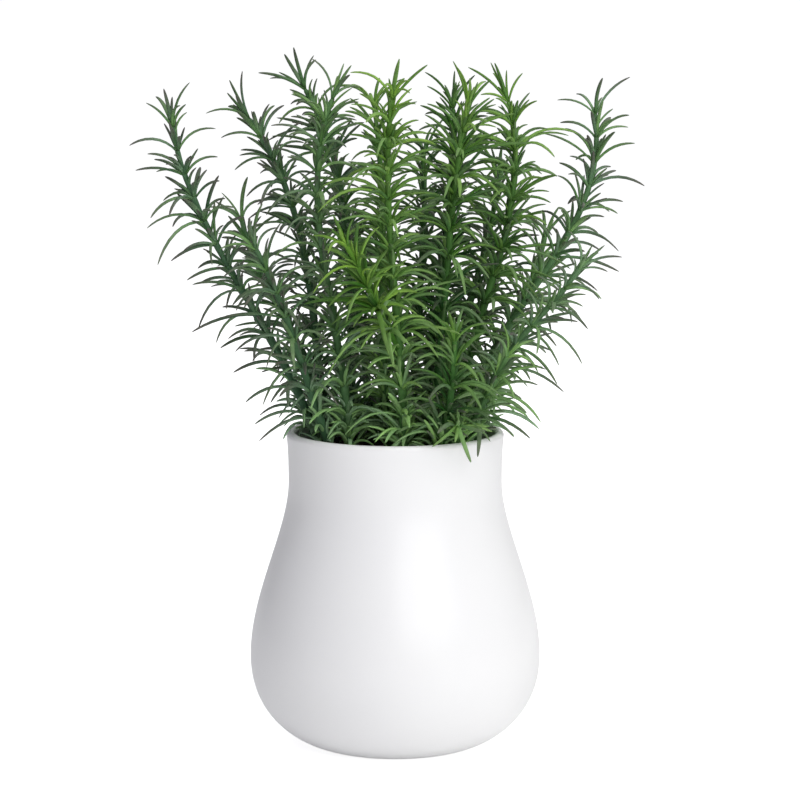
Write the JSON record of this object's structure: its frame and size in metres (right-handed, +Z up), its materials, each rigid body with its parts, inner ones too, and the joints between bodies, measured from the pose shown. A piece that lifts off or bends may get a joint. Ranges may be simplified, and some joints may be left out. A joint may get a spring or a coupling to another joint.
{
  "type": "potted thyme",
  "caption": "Potted herb with upright needle-leaved stems rising from soil in a pear-shaped glazed pot that stands on a flat base.",
  "frame": {"origin": "centre of the pot's flat base, on the surface that it stands on", "axes": "+Z up along the pot's axis, -Y towards the front of the plant, +X to the viewer's right"},
  "size_m": [0.2121, 0.1565, 0.2902],
  "materials": {
    "glaze": "smooth satin-gloss white glaze",
    "soil": "loose dark potting mix",
    "foliage": "waxy green leaves and stems"
  },
  "bodies": {
    "root": {"pot": "glaze", "soil": "soil", "sprig_far_left": "foliage", "sprig_left": "foliage", "sprig_left_back": "foliage", "sprig_left_front": "foliage", "sprig_centre_front": "foliage", "sprig_middle_back": "foliage", "sprig_middle": "foliage", "sprig_right_middle": "foliage", "sprig_far_right": "foliage", "sprig_right_low": "foliage", "sprig_right_short": "foliage", "sprig_front_short": "foliage", "sprig_left_low": "foliage", "sprig_back_far_left": "foliage", "sprig_back_left": "foliage", "sprig_back": "foliage", "sprig_back_right": "foliage", "sprig_back_far_right": "foliage", "sprig_centre_back": "foliage", "sprig_over_rim": "foliage"}
  },
  "joints": []
}
